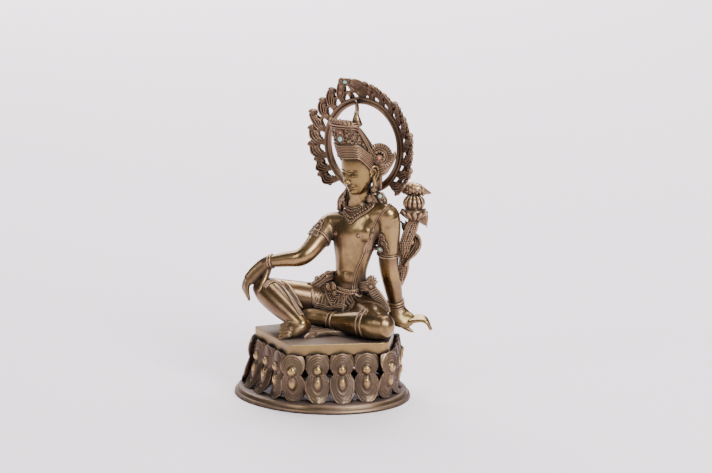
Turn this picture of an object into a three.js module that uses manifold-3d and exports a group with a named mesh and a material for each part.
// Seated bodhisattva in royal ease on an openwork double-lotus pedestal, with a
// flame halo behind the head. Copper alloy, cast in three pieces, set with small stones.
// Millimetres, +Z up. The figure faces -Y and its own left is +X.
// The origin is on the ground under the middle of the whole piece.
import * as THREE from 'three';
import { mergeVertices } from 'three/addons/utils/BufferGeometryUtils.js';
import Module from 'manifold-3d';

const wasm = await Module();
wasm.setup();

// Clearance between separate pieces
const gap = 0.3;

// Pedestal sizes
const footCentre = [-3.6, -2.7];
const footHalfLength = 68.5;
const footHalfDepth = 60;
const footHeight = 6.9;
const footWidth = 13;
const footSteps = 28;
const slabTop = 48.5;
const slabThick = 8.5;
const petalSpacing = 17.8;
const petalReach = 4.5;
const petalWaist = 26.3;
const cornerPetalShift = 2.6;

// Corners of the slab: x, y, radius of the rounding
const slabCorners = [
  [-51, -24, 2.5],
  [8, -56, 2.5],
  [60, -6, 7],
  [46, 18, 10],
  [28, 45, 8],
  [-10, 45, 14],
];

// Places of the joints and of the carried things
const joints = {
  rightShoulder: [-10.6, 17.3, 124],
  rightElbow: [-13.6, -10.2, 103.4],
  rightWrist: [-41.1, -17.2, 97.6],
  rightKnuckles: [-53.8, -26, 83.8],
  leftShoulder: [38.8, 22.9, 136.7],
  leftElbow: [31, 33.5, 96],
  leftWrist: [29.5, 45.5, 61.5],
  leftKnuckles: [42, 52, 53.4],
  rightHip: [-8, 21, 64],
  rightKnee: [-43, -19.9, 76.6],
  rightAnkle: [-3, -28.5, 57.5],
  leftHip: [15, 21, 62],
  leftKnee: [49.5, -4.5, 59.4],
  leftAnkle: [3, -2, 56],
  head: [16, 17.5, 166],
  halo: [6.8, 35, 182.7],
};
const headTurn = -8 * Math.PI / 180;
const headNod = 7 * Math.PI / 180;

// Halo sizes
const haloOpening = 31;
const haloBand = 5;
const haloLeafReach = 47;
const haloTopReach = 54;
const haloLeaves = 18;
const haloThick = 3.2;
const haloDish = 5;

// Stones
const stoneRadius = 1.9;
const middleStone = 1.4;
const smallStone = 1;

const turn = Math.PI * 2;
const up = new THREE.Vector3(0, 0, 1);

function vec(p) {
  return new THREE.Vector3(p[0], p[1], p[2]);
}

function place(name) {
  return vec(joints[name]);
}

// A closed geometry as a solid that can be joined and cut
function solid(geometry) {
  const bare = geometry.clone();
  bare.deleteAttribute('normal');
  bare.deleteAttribute('uv');
  const merged = mergeVertices(bare, 1e-4);
  const mesh = new wasm.Mesh({
    numProp: 3,
    vertProperties: new Float32Array(merged.attributes.position.array),
    triVerts: new Uint32Array(merged.index.array),
  });
  return new wasm.Manifold(mesh);
}

function join(solids) {
  return solids.reduce((whole, next) => whole.add(next));
}

// The same body with every point moved by a bend
function bent(body, bend) {
  const mesh = body.getMesh();
  const geometry = new THREE.BufferGeometry();
  const points = [];
  for (let i = 0; i < mesh.vertProperties.length; i += 3) {
    points.push(...bend(vec(mesh.vertProperties.slice(i, i + 3))).toArray());
  }
  geometry.setAttribute('position', new THREE.Float32BufferAttribute(points, 3));
  geometry.setIndex(Array.from(mesh.triVerts));
  return solid(geometry);
}

// A named mesh from a solid
function piece(name, body, material) {
  const mesh = body.getMesh();
  const geometry = new THREE.BufferGeometry();
  geometry.setAttribute('position', new THREE.BufferAttribute(new Float32Array(mesh.vertProperties), 3));
  geometry.setIndex(new THREE.BufferAttribute(new Uint32Array(mesh.triVerts), 1));
  geometry.computeVertexNormals();
  const result = new THREE.Mesh(geometry, material);
  result.name = name;
  return result;
}

// A skin over rings of equally many points, closed at both ends
function loft(rings) {
  const sides = rings[0].length;
  const points = rings.flat();
  const faces = [];
  for (let r = 0; r + 1 < rings.length; r += 1) {
    for (let s = 0; s < sides; s += 1) {
      const a = r * sides + s;
      const b = r * sides + (s + 1) % sides;
      faces.push(a, b, a + sides, b, b + sides, a + sides);
    }
  }
  const last = (rings.length - 1) * sides;
  for (let s = 1; s + 1 < sides; s += 1) {
    faces.push(0, s + 1, s);
    faces.push(last, last + s, last + s + 1);
  }
  let volume = 0;
  for (let i = 0; i < faces.length; i += 3) {
    const [a, b, c] = [points[faces[i]], points[faces[i + 1]], points[faces[i + 2]]];
    volume += a.dot(b.clone().cross(c));
  }
  if (volume < 0) {
    faces.reverse();
  }
  const geometry = new THREE.BufferGeometry();
  geometry.setAttribute('position', new THREE.Float32BufferAttribute(points.flatMap((p) => p.toArray()), 3));
  geometry.setIndex(faces);
  return solid(geometry);
}

function ring(centre, across, along, halfWidth, halfDepth, sides) {
  const points = [];
  for (let s = 0; s < sides; s += 1) {
    const angle = (s + 0.5) / sides * turn;
    points.push(centre.clone()
      .addScaledVector(across, halfWidth * Math.cos(angle))
      .addScaledVector(along, halfDepth * Math.sin(angle)));
  }
  return points;
}

// A limb along stations [x, y, z, half width, half thickness], with a round far end
function limb(stations, sides = 8, flat = up) {
  const curve = new THREE.CatmullRomCurve3(stations.map(vec), false, 'centripetal');
  const last = stations.length - 1;
  const section = (index, scale, push) => {
    const [, , , width, depth] = stations[index];
    const along = curve.getTangent(index / last);
    const across = new THREE.Vector3().crossVectors(flat, along).normalize();
    const over = new THREE.Vector3().crossVectors(along, across);
    const centre = curve.getPoint(index / last).addScaledVector(along, push * Math.min(width, depth));
    return ring(centre, across, over, width * scale, depth * scale, sides);
  };
  const rings = stations.map((station, index) => section(index, 1, 0));
  rings.push(section(last, 0.55, 0.75));
  return loft(rings);
}

// Stations with a raised band at each listed share of the way between two stations
function banded(stations, bands) {
  const result = [stations[0]];
  for (let i = 0; i + 1 < stations.length; i += 1) {
    bands.filter(([index]) => index === i).forEach(([, share, halfHeight, raise]) => {
      [[-halfHeight, 0], [0, raise], [halfHeight, 0]].forEach(([shift, swell]) => {
        const mixed = stations[i].map((value, k) => {
          const length = vec(stations[i]).distanceTo(vec(stations[i + 1]));
          const at = share + shift / length;
          return value * (1 - at) + stations[i + 1][k] * at + (k > 2 ? swell : 0);
        });
        result.push(mixed);
      });
    });
    result.push(stations[i + 1]);
  }
  return result;
}

// A body of level sections [z, x, y, half width, half depth, turn, sideways slope]
function stack(levels, sides) {
  return loft(levels.map(([z, x, y, halfWidth, halfDepth, yaw = 0, slope = 0]) => {
    const across = new THREE.Vector3(Math.cos(yaw), Math.sin(yaw), slope);
    const along = new THREE.Vector3(-Math.sin(yaw), Math.cos(yaw), 0);
    return ring(new THREE.Vector3(x, y, z), across, along, halfWidth, halfDepth, sides);
  }));
}

function egg(centre, radii, across = 5, high = 3) {
  const geometry = new THREE.SphereGeometry(1, across, high);
  geometry.rotateX(Math.PI / 2);
  geometry.scale(radii[0], radii[1], radii[2]);
  geometry.translate(centre[0], centre[1], centre[2]);
  return solid(geometry);
}

function between(a, b, share) {
  return a.clone().lerp(b, share);
}

// Outline with rounded corners, as points
function roundedOutline(corners, arcSteps = 4) {
  const points = [];
  corners.forEach(([x, y, radius], i) => {
    const corner = new THREE.Vector2(x, y);
    const before = corners[(i + corners.length - 1) % corners.length];
    const after = corners[(i + 1) % corners.length];
    const back = new THREE.Vector2(before[0] - x, before[1] - y).normalize();
    const ahead = new THREE.Vector2(after[0] - x, after[1] - y).normalize();
    const half = Math.acos(back.dot(ahead)) / 2;
    const centre = back.clone().add(ahead).normalize().multiplyScalar(radius / Math.sin(half)).add(corner);
    const start = corner.clone().addScaledVector(back, radius / Math.tan(half)).sub(centre);
    const sweep = Math.PI - half * 2;
    for (let s = 0; s <= arcSteps; s += 1) {
      points.push(start.clone().rotateAround(new THREE.Vector2(), sweep * s / arcSteps).add(centre));
    }
  });
  return points;
}

function plate(outline, bottom, height) {
  const geometry = new THREE.ExtrudeGeometry(new THREE.Shape(outline), { depth: height, bevelEnabled: false });
  geometry.translate(0, 0, bottom);
  return solid(geometry);
}

// The pedestal: one hollow casting, open below, with holes between its petals
function footRim() {
  const profile = [
    [0, 0],
    [0.4, 2.8],
    [2.6, 6.3],
    [footWidth, footHeight],
    [footWidth, footHeight - 2.4],
    [4.6, 4],
    [3.4, 0],
  ];
  const points = [];
  const faces = [];
  for (let s = 0; s < footSteps; s += 1) {
    const angle = s / footSteps * turn;
    profile.forEach(([inset, z]) => {
      points.push(
        footCentre[0] + (footHalfLength - inset) * Math.cos(angle),
        footCentre[1] + (footHalfDepth - inset) * Math.sin(angle),
        z,
      );
    });
  }
  const count = profile.length;
  for (let s = 0; s < footSteps; s += 1) {
    for (let p = 0; p < count; p += 1) {
      const a = s * count + p;
      const b = s * count + (p + 1) % count;
      const shift = ((s + 1) % footSteps - s) * count;
      faces.push(a, a + shift, b, b, a + shift, b + shift);
    }
  }
  const geometry = new THREE.BufferGeometry();
  geometry.setAttribute('position', new THREE.Float32BufferAttribute(points, 3));
  geometry.setIndex(faces);
  return solid(geometry);
}

// How far the foot's edge lies outside a place on the petal row
function footRoom(spot, outward) {
  let reach = 0;
  const probe = spot.clone().sub(new THREE.Vector2(...footCentre));
  while ((probe.x / footHalfLength) ** 2 + (probe.y / footHalfDepth) ** 2 < 1) {
    probe.addScaledVector(outward, 0.25);
    reach += 0.25;
  }
  return reach;
}

// A pair of petals, one hanging and one standing: rows of [z, lean outwards, half width, bulge]
function petalPair(spot, outward) {
  const flare = footRoom(spot, outward) - 10.5;
  const half = petalSpacing / 2;
  const rows = [
    [petalWaist - 20, 1.6 + flare, half * 0.3, 1.2],
    [petalWaist - 15.4, 1.4 + flare * 0.86, half * 0.8, 2.4],
    [petalWaist - 8, 1.2 + flare * 0.5, half * 1.03, 3],
    [petalWaist - 2, 0.6 + flare * 0.15, half * 0.88, 2],
    [petalWaist, -0.6, half * 0.6, 0.8],
    [petalWaist + 3, 0.7, half * 0.98, 3],
    [petalWaist + 11, 0.5, half * 1.04, 2],
    [petalWaist + 16, -0.4, half * 0.5, 1],
  ];
  const side = new THREE.Vector2(-outward.y, outward.x);
  const shape = [[-1, -0.8, 0], [-0.55, 0, 0.7], [0.55, 0, 0.7], [1, -0.8, 0], [0, -3, 0]];
  return loft(rows.map(([z, lean, halfWidth, bulge]) => shape.map(([w, inset, swell]) => {
    const out = lean + inset + swell * bulge;
    return new THREE.Vector3(
      spot.x + side.x * w * halfWidth + outward.x * out,
      spot.y + side.y * w * halfWidth + outward.y * out,
      z,
    );
  })));
}

function pedestal() {
  const row = roundedOutline(slabCorners.map(([x, y, radius]) => [x, y, radius + petalReach]), 3);
  const centre = new THREE.Vector2(4, -4);
  const path = new THREE.CurvePath();
  row.forEach((point, i) => {
    const grown = (p) => p.clone().addScaledVector(p.clone().sub(centre).normalize(), petalReach * 0.6);
    path.add(new THREE.LineCurve(grown(point), grown(row[(i + 1) % row.length])));
  });
  const length = path.getLength();
  const cornerAt = cornerPlace(path, length);
  const bodies = [footRim(), plate(roundedOutline(slabCorners, 3), slabTop - slabThick, slabThick)];
  const count = Math.round(length / petalSpacing);
  for (let i = 0; i < count; i += 1) {
    const at = (cornerAt + i / count) % 1;
    const spot = path.getPointAt(at);
    const ahead = path.getPointAt((at + 0.012) % 1);
    const behind = path.getPointAt((at + 0.988) % 1);
    const outward = new THREE.Vector2(ahead.y - behind.y, behind.x - ahead.x).normalize();
    bodies.push(petalPair(spot, outward));
  }
  return join(bodies);
}

// Share of the petal row at which the slab's sharp front corner lies
function cornerPlace(path, length) {
  const corner = new THREE.Vector2(slabCorners[1][0], slabCorners[1][1]);
  let best = 0;
  let nearest = Infinity;
  for (let s = 0; s < length; s += 1) {
    const distance = path.getPointAt(s / length).distanceTo(corner);
    if (distance < nearest) {
      nearest = distance;
      best = s / length;
    }
  }
  return best + cornerPetalShift / length;
}

// The figure's trunk down to the seat, with the belt round the hips
function trunk() {
  return stack([
    [47, 2, 22, 21, 17],
    [53, 2, 22, 23, 19],
    [61, 2.5, 22, 22.5, 18.5],
    [70, 4, 21.5, 19, 15],
    [76, 5.2, 20.3, 15.8, 12.4],
    [78.4, 5.5, 20, 17, 13.6],
    [81, 5.9, 19.7, 14.2, 11],
    [90, 7.2, 18.6, 12.2, 9.2, 0.06, 0.03],
    [101, 9.5, 18.2, 14, 10.2, 0.1, 0.1],
    [112, 11.6, 18.4, 17.2, 12, 0.12, 0.15],
    [122, 13.4, 19, 20.6, 12.8, 0.12, 0.2],
    [130, 14.4, 20, 20.4, 11.2, 0.12, 0.28],
    [136, 14.4, 20.4, 13.6, 8.6, 0.12, 0.26],
    [141, 12.8, 20, 8, 7, 0.1, 0.16],
    [157, 15, 18.2, 6.6, 6.6],
  ], 10);
}

function pectoral() {
  const collar = stack([
    [141.4, 12.5, 19.2, 9.2, 8, 0.1, 0.12],
    [136, 13.3, 18.2, 17.4, 12.4, 0.12, 0.2],
    [134.4, 13.3, 18.8, 15.8, 11, 0.12, 0.2],
  ], 8);
  const frontwards = new THREE.Vector3(0, 1, 0);
  const drop = loft([[5, -2.2], [0, 0], [0, 2.2]].map(([drop, back]) => [
    new THREE.Vector3(1.4, 9.6 + back, 135 - drop * 0.4),
    new THREE.Vector3(5, 7.4 + back, 129.6 - drop * 0.6),
    new THREE.Vector3(9.2, 6.6 + back, 127.4 - drop * 0.4),
    new THREE.Vector3(14.4, 7 + back, 130.6 - drop * 0.6),
    new THREE.Vector3(21, 8.6 + back, 137.4 - drop * 0.4),
  ]));
  const sash = limb([
    [31, 24, 143, 1.2, 1.2],
    [31, 15, 133, 1.4, 1.4],
    [28.4, 11.4, 119, 1.4, 1.4],
    [20, 9.6, 102, 1.3, 1.3],
    [16.6, 8.4, 88, 1.3, 1.3],
    [21.5, 4.4, 73.5, 1.3, 1.3],
  ], 4);
  return join([collar, drop, sash]);
}

// Arms, each with an armlet, a bracelet and a hand
function rightArm() {
  const shoulder = place('rightShoulder');
  const elbow = place('rightElbow');
  const wrist = place('rightWrist');
  const knuckles = place('rightKnuckles');
  const sideways = new THREE.Vector3(1, 0, 0);
  const arm = limb(banded([
    [2, 19.5, 126.4, 8, 7.6],
    [...shoulder.toArray(), 8.2, 8.2],
    [...between(shoulder, elbow, 0.4).toArray(), 7.8, 7.8],
    [...elbow.toArray(), 6.2, 6.4],
    [...wrist.toArray(), 4.4, 4.2],
  ], [[2, 0.24, 1.6, 1.3], [3, 0.92, 1.6, 1.4]]), 7);
  const palm = limb([
    [...wrist.toArray(), 4.2, 3.4],
    [...between(wrist, knuckles, 0.6).toArray(), 5.8, 3.2],
    [...knuckles.toArray(), 6, 2.8],
  ], 6, new THREE.Vector3(-0.6, -0.25, 0.75));
  const fingers = [0, 1, 2, 3].map((i) => {
    const root = knuckles.clone().add(new THREE.Vector3(4.4 - i * 2.8, -2 + i * 1.1, 1.6 - i * 1.1));
    return limb([
      [...root.toArray(), 2, 2],
      [root.x - 3 + i * 0.2, root.y - 2.4 + i * 0.3, root.z - 6.4 + i * 0.6, 1.9, 1.9],
      [root.x - 1.6 - i * 0.6, root.y - 1.6, root.z - 13.2 + i * 2.6, 1.1, 1.1],
    ], 4, sideways);
  });
  const thumb = limb([
    [-44, -21.4, 92, 2.4, 2.2],
    [-45.1, -27.1, 84.1, 2, 1.9],
    [-43.4, -27.1, 77.5, 1.5, 1.4],
  ], 4, sideways);
  const shield = limb([
    [-20.2, 3.4, 112.5, 3.6, 1.8],
    [-17.2, 6, 123.4, 1.1, 1],
  ], 5, new THREE.Vector3(-0.7, -0.5, 0.4));
  return join([arm, palm, ...fingers, thumb, shield]);
}

function leftArm() {
  const shoulder = place('leftShoulder');
  const elbow = place('leftElbow');
  const wrist = place('leftWrist');
  const knuckles = place('leftKnuckles');
  const across = new THREE.Vector3(0, 1, 0);
  const arm = limb(banded([
    [20, 21.2, 130.6, 8.6, 9],
    [31, 21.4, 136.4, 7, 7.4],
    [shoulder.x + 0.6, shoulder.y + 0.6, shoulder.z - 1.6, 7.2, 8],
    [...between(shoulder, elbow, 0.22).toArray(), 8.4, 8.6],
    [...between(shoulder, elbow, 0.6).toArray(), 7.8, 8],
    [...elbow.toArray(), 7.2, 7.2],
    [...between(elbow, wrist, 0.45).toArray(), 6.8, 6.6],
    [...wrist.toArray(), 4.8, 4.4],
  ], [[4, 0.25, 1.6, 1.4], [6, 0.86, 1.6, 1.5]]), 7, across);
  const palm = limb([
    [wrist.x, wrist.y, wrist.z, 4.4, 3.6],
    [wrist.x + 3.6, wrist.y + 2.6, wrist.z - 7.6, 6, 3.2],
    [...knuckles.toArray(), 6.2, 2.6],
  ], 6);
  const fingers = [0, 1, 2, 3].map((i) => {
    const root = knuckles.clone().add(new THREE.Vector3(1 - i * 1.7, -4.4 + i * 3.1, 0));
    return limb([
      [...root.toArray(), 1.6, 1.5],
      [root.x + 8, root.y + 1.6 + i * 0.6, root.z + 0.4, 1.6, 1.4],
      [root.x + 13.6 - i * 0.8, root.y + 2.2 + i * 0.9, root.z - 5.4, 1, 1],
    ], 4);
  });
  const thumb = limb([
    [34.5, 45.5, 54.6, 2.2, 2],
    [40.4, 44.5, 50.2, 1.9, 1.8],
    [44.6, 45, 46, 1.3, 1.2],
  ], 4);
  const shield = limb([
    [33.5, 22, 108.5, 3.6, 1.8],
    [34.6, 18.6, 119.4, 1.1, 1],
  ], 5, new THREE.Vector3(0.3, -1, 0));
  return join([arm, palm, ...fingers, thumb, shield]);
}

// Legs: the right knee stands up, the left leg lies folded on the slab
function rightLeg() {
  const hip = place('rightHip');
  const knee = place('rightKnee');
  const ankle = place('rightAnkle');
  const thigh = limb(banded([
    [...hip.toArray(), 13, 12],
    [...between(hip, knee, 0.5).toArray(), 11, 10.6],
    [...between(hip, knee, 0.85).toArray(), 9.8, 9.6],
    [...knee.toArray(), 8.8, 9],
  ], [[1, 0.3, 1.4, 0.9], [1, 0.75, 1.4, 0.9]]), 7);
  const shin = limb([
    [...between(knee, ankle, -0.04).toArray(), 8.4, 8.8],
    [...between(knee, ankle, 0.12).toArray(), 9.8, 10.2],
    [...between(knee, ankle, 0.45).toArray(), 9.4, 9.4],
    [...between(knee, ankle, 0.8).toArray(), 7, 7.2],
    [...ankle.toArray(), 5.4, 5.6],
  ], 7);
  const foot = limb([
    [0, -21.5, 52.4, 4.6, 4.6],
    [-0.5, -31, 53.6, 5.4, 5.6],
    [0.5, -40, 52, 6.4, 3.8],
    [1, -45.5, 51, 6.6, 2.8],
  ], 6);
  const toes = [0, 1, 2, 3, 4].map((i) => limb([
    [6.4 - i * 2.9, -43.5 + i * 0.5, 50.9, 1.8 - i * 0.12, 1.8 - i * 0.1],
    [6.8 - i * 3.1, -50.4 + i * 1.3, 50.3, 1.5 - i * 0.1, 1.5 - i * 0.1],
  ], 4));
  return join([thigh, shin, foot, ...toes]);
}

function leftLeg() {
  const hip = place('leftHip');
  const knee = place('leftKnee');
  const ankle = place('leftAnkle');
  const thigh = limb([
    [...hip.toArray(), 13.5, 13],
    [...between(hip, knee, 0.5).toArray(), 12.4, 12.4],
    [...between(hip, knee, 0.85).toArray(), 11.4, 11.8],
    [...knee.toArray(), 10, 10.4],
  ], 7);
  const shin = limb(banded([
    [...between(knee, ankle, -0.08).toArray(), 9.4, 9.6],
    [...between(knee, ankle, 0.12).toArray(), 10.4, 10.6],
    [...between(knee, ankle, 0.75).toArray(), 6.8, 7],
    [...ankle.toArray(), 5.6, 5.8],
  ], [[1, 0.36, 1, 0.8], [2, 0.6, 1, 0.9]]), 7);
  const foot = limb([
    [...ankle.toArray(), 5, 5.4],
    [-6, -3.5, 54.6, 5.2, 5],
    [-15, -6.5, 53.4, 5.4, 3.6],
    [-20.5, -8.5, 52.4, 4.6, 2.6],
  ], 6);
  return join([thigh, shin, foot]);
}

// Cloth: apron over the lap, hip knots, and the sash end that lies on the slab
function cloths() {
  const apron = stack([
    [61.5, -7, 7, 19, 5.4, 0.1],
    [65, -7, 7.4, 20, 6.4, 0.1],
    [79, 1, 11.4, 16, 5.4, 0.03],
  ], 8);
  const buckle = [-5.5, 3.5].map((shift) => egg([3 + shift, 7, 77.5], [2.8, 2.2, 3.4]));
  const pendant = limb([
    [1, 5.4, 75.5, 4.6, 1.8],
    [-0.6, 3.2, 69, 4.4, 2],
    [-1.6, 2.6, 64.6, 2, 1.6],
  ], 6, new THREE.Vector3(0, -1, 0.2));
  const rightBow = limb([
    [-4, 16, 84, 3, 4],
    [-13, 12.5, 84.6, 3.4, 5],
    [-20, 7, 79, 3.2, 5],
    [-28, 0, 74, 1.6, 2.4],
  ], 6);
  const leftKnot = join([
    egg([24, 15.5, 81.5], [5, 4.6, 4.8], 6, 4),
    limb([
      [25, 15, 79, 3, 3],
      [31, 15.4, 72, 2.8, 3],
      [37, 16.6, 64, 2.4, 2.6],
      [40, 20, 57, 1.6, 2],
    ], 5),
  ]);
  const drapeOutline = [
    [-12, -10],
    [-4, -18],
    [6, -24],
    [10.5, -28.5],
    [14, -24],
    [22, -18],
    [27, -16],
    [24, -6],
  ].map(([x, y]) => new THREE.Vector2(x, y));
  return join([apron, ...buckle, pendant, rightBow, leftKnot, plate(drapeOutline, slabTop, 2.2)]);
}

// Head frame: x to the figure's left, y to the back, z up, turned and nodded
function headPoint(x, y, z) {
  return new THREE.Vector3(x, y, z)
    .applyAxisAngle(new THREE.Vector3(1, 0, 0), headNod)
    .applyAxisAngle(up, headTurn)
    .add(place('head'));
}

function onHead(body) {
  const frame = new THREE.Matrix4()
    .makeRotationZ(headTurn)
    .multiply(new THREE.Matrix4().makeRotationX(headNod))
    .setPosition(place('head'));
  return body.transform(frame.toArray());
}

function head() {
  const skull = stack([
    [-15, 0, -4.5, 3.6, 3.4],
    [-13.4, 0, -4, 5.4, 5.4],
    [-9, 0, -2.2, 8.4, 8.4],
    [-3, 0, -0.8, 11.2, 11.4],
    [3, 0, -0.3, 12.2, 12.6],
    [9, 0, 0, 12, 12.8],
  ], 10);
  const nose = loft([
    [new THREE.Vector3(-0.9, -11.2, 3.4), new THREE.Vector3(0.9, -11.2, 3.4), new THREE.Vector3(0, -13, 3.2)],
    [new THREE.Vector3(-2.2, -9.6, -4), new THREE.Vector3(2.2, -9.6, -4), new THREE.Vector3(0, -14, -3.4)],
    [new THREE.Vector3(-1.4, -9.4, -5.2), new THREE.Vector3(1.4, -9.4, -5.2), new THREE.Vector3(0, -12, -5)],
  ]);
  const features = [nose, egg([0, -9.8, -8], [3, 1.8, 1.3]), egg([0, -7.4, -12.2], [2.8, 2.4, 2.2])];
  [-1, 1].forEach((side) => {
    features.push(egg([side * 4.6, -9.9, 0.6], [2.8, 1.7, 1.3]));
    features.push(limb([
      [side * 11, 1, 3, 1.4, 2.6],
      [side * 11.8, 1.4, -4, 1.2, 2.2],
      [side * 12.2, 1.2, -8, 1.4, 1.6],
      [side * 12.2, 0.8, -15.6, 1.6, 1.8],
    ], 5, new THREE.Vector3(1, 0, 0)));
  });
  return onHead(join([skull, ...features]));
}

// Tall crown with a ridged band, side fans with rosettes, and ribbons behind the ears
function crown() {
  const ridges = [0, 1].flatMap((i) => [
    [7.6 + i * 3.4, -0.1 * i, -0.2 * i, 14.3, 14.9],
    [9.4 + i * 3.4, -0.1 * i, -0.2 * i, 13.5, 14.1],
  ]);
  const mitre = stack([
    [6.2, 0, 0, 13, 13.6],
    ...ridges,
    [24, -2.4, -3.4, 13.2, 12],
    [33, -3.6, -6.2, 12.4, 9],
    [35.6, -4, -7.2, 13, 8],
    [38.4, -4.2, -7.6, 11.6, 7],
  ], 10);
  const parts = [mitre];
  [-1, 0, 1].forEach((i) => {
    parts.push(egg([-4 + i * 5.6, -13.2 + Math.abs(i) * 1.4, 39.6], [2.6, 1.3, 3.2 - Math.abs(i) * 0.4], 4, 2));
  });
  parts.push(egg([0, -2, 40.4], [2.8, 2.8, 5]));
  [-1, 1].forEach((side) => {
    const facing = new THREE.Vector3(side * 0.5, -0.86, 0.1);
    const fan = [[0, -1.6], [7.8, -1.2], [7.2, 1], [0, 1.4]];
    parts.push(turned(fan, new THREE.Vector3(side * 15.6, 6.6, 14.4), facing, 8));
    parts.push(egg([side * 14.6, 3.8, 12.2], [2.8, 2.4, 2.8]));
    parts.push(limb([
      [side * 7.5, 5, 2.4, 1.4, 3],
      [side * 16, 10, -0.8, 1.5, 3.8],
      [side * 22.4, 11.6, 5.4, 1.3, 3.2],
      [side * 24.4, 11, 13, 1.5, 2.2],
    ], 4, new THREE.Vector3(0, 1, 0)));
  });
  return onHead(join(parts));
}

// Curved strut from the crown's finial back to the halo's band
function strut() {
  const start = headPoint(0, -2, 43);
  const end = place('halo').add(new THREE.Vector3(0, -haloThick / 2 - gap - 1.2, haloOpening + 2));
  return limb([
    [...start.toArray(), 1.2, 1.2],
    [...between(start, end, 0.5).add(new THREE.Vector3(0.6, 0, 1)).toArray(), 1.2, 1.2],
    [...end.toArray(), 1.1, 1.1],
  ], 5, new THREE.Vector3(1, 0, 0));
}

// Locks and ornaments that lie on the shoulders
function locks() {
  return join([
    limb([[2, 20, 150, 2.6, 3], [-1.6, 20, 143, 4, 4], [-3, 19.4, 136, 3.6, 3.6]], 5),
    limb([[27.4, 24, 151, 3, 3.6], [32, 24, 147, 5, 4.6], [33.6, 24, 140, 3, 3.2]], 5),
  ]);
}

// Lotus that grows along the left arm and opens beside the shoulder
function lotus() {
  const backwards = new THREE.Vector3(0, 1, 0);
  const stem = limb([
    [33, 43, 76, 1.8, 2],
    [37, 43, 90, 2.2, 2.2],
    [40.5, 40, 104, 1.9, 1.9],
    [42.4, 37.8, 115, 1.8, 1.8],
    [49, 39.6, 130, 1.8, 1.8],
  ], 4);
  const twin = limb([
    [38, 42.6, 94, 1.6, 1.6],
    [37.4, 36.4, 112, 1.7, 1.7],
    [45, 38.6, 126, 1.7, 1.7],
  ], 4);
  const leaf = limb([
    [38.5, 42.4, 97, 1.6, 1.8],
    [46.5, 43, 104, 1.8, 4],
    [51, 43.2, 113, 1.6, 5],
  ], 4, backwards);
  const heart = new THREE.Vector3(49.2, 39.8, 130);
  const flower = new THREE.LatheGeometry([
    [0, -2.4],
    [8, 1],
    [6.4, 4.4],
    [7.6, 9],
    [3, 18.6],
    [0, 18.6],
  ].map(([radius, z]) => new THREE.Vector2(radius, z)), 8);
  flower.rotateX(Math.PI / 2);
  flower.translate(heart.x, heart.y, heart.z);
  const drooping = limb([
    [heart.x + 4, heart.y + 2.4, heart.z + 3, 1.6, 3.4],
    [heart.x + 8.4, heart.y + 5, heart.z - 1, 1.2, 2.6],
    [heart.x + 9.6, heart.y + 5.6, heart.z - 5, 0.7, 1],
  ], 4, backwards);
  const sidePetals = [0, 1, 2, 3, 4].map((i) => {
    const angle = (i + 0.4) / 5 * turn;
    const out = (r) => [heart.x + Math.cos(angle) * r, heart.y + Math.sin(angle) * r];
    return limb([
      [...out(4), heart.z + 2.6, 3, 1.6],
      [...out(9), heart.z + 2, 2.4, 1.2],
    ], 4);
  });
  const bud = limb([
    [44.6, 37.6, 156.6, 2, 2.4],
    [51, 41, 155.6, 4, 4],
    [56, 44.4, 154, 3, 2.6],
    [60.4, 47, 153, 0.8, 0.8],
  ], 5);
  const neck = limb([[50.2, 40.4, 147, 2, 2], [50.4, 40.8, 154, 2.4, 2.4]], 4);
  return join([stem, twin, leaf, solid(flower), drooping, ...sidePetals, bud, neck]);
}

// The halo: a moulded band with a pierced border of flame leaves
function haloPoint(angle, radius, y = 0) {
  return new THREE.Vector3(radius * Math.cos(angle), y, radius * Math.sin(angle)).add(place('halo'));
}

function haloReach(angle) {
  const swell = (centre, width) => Math.exp(-(((angle - centre) / width) ** 2));
  const crest = (haloTopReach - haloLeafReach) * (swell(1.85, 0.22) + swell(2.75, 0.5) * 0.35);
  return Math.max(haloLeafReach + crest - 4 * swell(1.05, 0.35) - 5 * swell(3.8, 0.45), haloOpening + haloBand + 8);
}

// The pierced border: flame leaves side by side, each with a hole at its foot
function haloBorder() {
  const first = -46 * Math.PI / 180;
  const last = 229 * Math.PI / 180;
  const step = (last - first) / haloLeaves;
  const inner = haloOpening + haloBand - 1.4;
  const at = (angle, radius) => new THREE.Vector2(radius * Math.cos(angle), radius * Math.sin(angle));
  const outline = [];
  const holes = [];
  const curls = [];
  for (let i = 0; i < haloLeaves; i += 1) {
    const angle = first + step * (i + 0.5);
    const lean = Math.sign(1.9 - angle) * step * 0.3;
    const reach = haloReach(angle) + (i % 2);
    outline.push(
      at(angle - step * 0.5, Math.max(reach - 6.6, haloOpening + haloBand + 5.2)),
      at(angle - step * 0.3 + lean * 0.6, reach - 2),
      at(angle + step * 0.1 + lean, reach),
      at(angle + step * 0.3 + lean * 0.4, reach - 2.6),
    );
    if (i % 2 === 0) {
      curls.push(egg(haloPoint(angle + lean * 0.6, reach - 3.6, -0.8).toArray(), [2.6, 2.4, 2.6], 4, 2));
    }
    if (i > 0) {
      const seam = angle - step * 0.5;
      const foot = haloOpening + haloBand;
      holes.push([
        at(seam - step * 0.2, foot + 1),
        at(seam + step * 0.2, foot + 1),
        at(seam + step * 0.12, foot + 3.8),
        at(seam - step * 0.12, foot + 3.8),
      ]);
    }
  }
  for (let i = 0; i <= haloLeaves; i += 1) {
    outline.push(at(last - step * i, inner));
  }
  const shape = new THREE.Shape(outline);
  shape.holes = holes.map((points) => new THREE.Path(points));
  const border = new THREE.ExtrudeGeometry(shape, { depth: haloThick - 0.4, bevelEnabled: false });
  border.rotateX(Math.PI / 2);
  border.translate(joints.halo[0], joints.halo[1] + haloThick / 2 - 0.2, joints.halo[2]);
  return join([solid(border), ...curls]);
}

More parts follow.
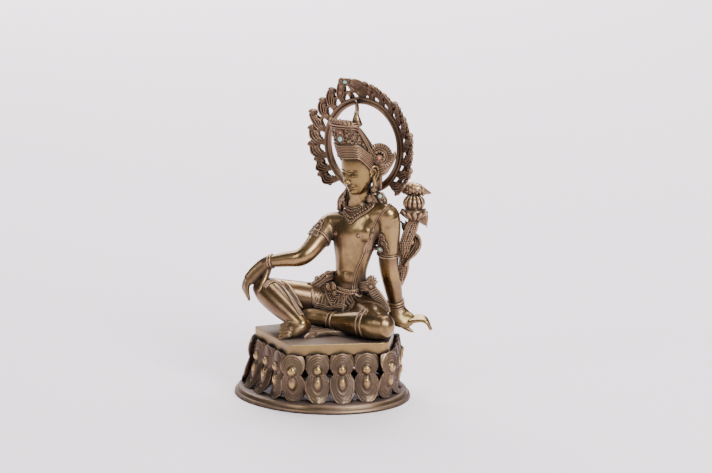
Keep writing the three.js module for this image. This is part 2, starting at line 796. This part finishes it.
function halo() {
  const half = haloThick / 2;
  const outer = haloOpening + haloBand;
  const profile = [
    [haloOpening, -half],
    [haloOpening + 1.2, -half - 0.6],
    [outer - 1.2, -half - 0.6],
    [outer, half],
    [haloOpening, half],
    [haloOpening, -half],
  ].map(([radius, y]) => new THREE.Vector2(radius, y));
  const hoop = new THREE.LatheGeometry(profile, 26);
  hoop.translate(...joints.halo);
  return solid(hoop).add(haloBorder());
}

// The halo's border bends forward like a shallow dish
function dish(p) {
  const centre = place('halo');
  const radius = Math.hypot(p.x - centre.x, p.z - centre.z);
  const share = Math.max(0, radius - haloOpening - haloBand) / (haloLeafReach - haloOpening - haloBand);
  return p.setY(p.y - haloDish * Math.min(share, 1.3) ** 1.4);
}

// A stone and the collar of metal that it sits in
function stoneFrame(spot, outward) {
  const frame = new THREE.Matrix4();
  const turnTo = new THREE.Quaternion().setFromUnitVectors(new THREE.Vector3(0, 1, 0), outward.clone().normalize());
  return frame.compose(spot, turnTo, new THREE.Vector3(1, 1, 1));
}

function turned(profile, spot, outward, segments = 6) {
  const geometry = new THREE.LatheGeometry(profile.map(([radius, y]) => new THREE.Vector2(radius, y)), segments);
  geometry.applyMatrix4(stoneFrame(spot, outward));
  return solid(geometry);
}

function stone(spot, outward, radius) {
  return turned([[0, -0.6], [radius, -0.6], [radius, 0.2], [radius * 0.6, 1], [0, 1.2]], spot, outward);
}

function collet(spot, outward, radius) {
  const rim = radius + gap + 0.9;
  return turned([[0, -4.5], [rim, -4.5], [rim, 0.3], [0, 0.3]], spot, outward);
}

function socket(spot, outward, radius) {
  const room = radius + gap;
  return turned([[0, -0.9], [room, -0.9], [room, 3], [0, 3]], spot, outward);
}

const bronze = new THREE.MeshStandardMaterial({ color: 0x8f7446, roughness: 0.38, metalness: 0.9 });
const pedestalBronze = new THREE.MeshStandardMaterial({ color: 0x84705a, roughness: 0.48, metalness: 0.85 });
const haloBronze = new THREE.MeshStandardMaterial({ color: 0x7d5b42, roughness: 0.45, metalness: 0.85 });
const turquoise = new THREE.MeshStandardMaterial({ color: 0x8fd6c6, roughness: 0.4, metalness: 0 });
const coral = new THREE.MeshStandardMaterial({ color: 0xc9714f, roughness: 0.4, metalness: 0 });

const faceOut = new THREE.Vector3(Math.sin(headTurn), -Math.cos(headTurn), 0.1);
const stones = [
  ['crown_turquoise', headPoint(-1.2, -15.4, 28.8), faceOut, stoneRadius, 'figure', turquoise],
  ['crown_coral', headPoint(-0.9, -15, 33.6), faceOut, smallStone, 'figure', coral],
  ['left_rosette', headPoint(18, 4, 12.2), headSide(1), middleStone, 'figure', coral],
  ['left_shoulder', vec([33.4, 19.4, 149.8]), vec([0.3, -1, 0.2]), middleStone, 'figure', turquoise],
  ['left_armlet', vec([33.6, 19.4, 110]), vec([0.3, -1, 0]), middleStone, 'figure', turquoise],
  ['halo_turquoise', haloPoint(1.8, 49, -8.2), vec([0, -1, 0]), stoneRadius, 'halo', turquoise],
].map(([name, spot, out, radius, on, material]) => ({ name: `stone_${name}`, spot, out, radius, on, material }));

function headSide(side) {
  return new THREE.Vector3(side * 0.55, -0.83, 0.05);
}

function setStones(body, carrier) {
  return stones.filter((s) => s.on === carrier).reduce(
    (whole, s) => whole.add(collet(s.spot, s.out, s.radius)).subtract(socket(s.spot, s.out, s.radius)),
    body,
  );
}

function figure() {
  const body = join([
    trunk(),
    pectoral(),
    rightArm(),
    leftArm(),
    rightLeg(),
    leftLeg(),
    cloths(),
    head(),
    crown(),
    strut(),
    locks(),
    lotus(),
  ]);
  const underSlab = new THREE.BoxGeometry(300, 300, 60);
  underSlab.translate(0, 0, slabTop + gap - 30);
  return setStones(body, 'figure').subtract(solid(underSlab));
}

// The group is shifted sideways so that the origin lies under the middle of the whole piece
const group = new THREE.Group();
group.position.set(-footCentre[0], 0, 0);
group.add(piece('pedestal', pedestal(), pedestalBronze));
group.add(piece('figure', figure(), bronze));
group.add(piece('halo', setStones(bent(halo(), dish), 'halo'), haloBronze));
stones.forEach((s) => {
  group.add(piece(s.name, stone(s.spot, s.out, s.radius), s.material));
});

export default group;
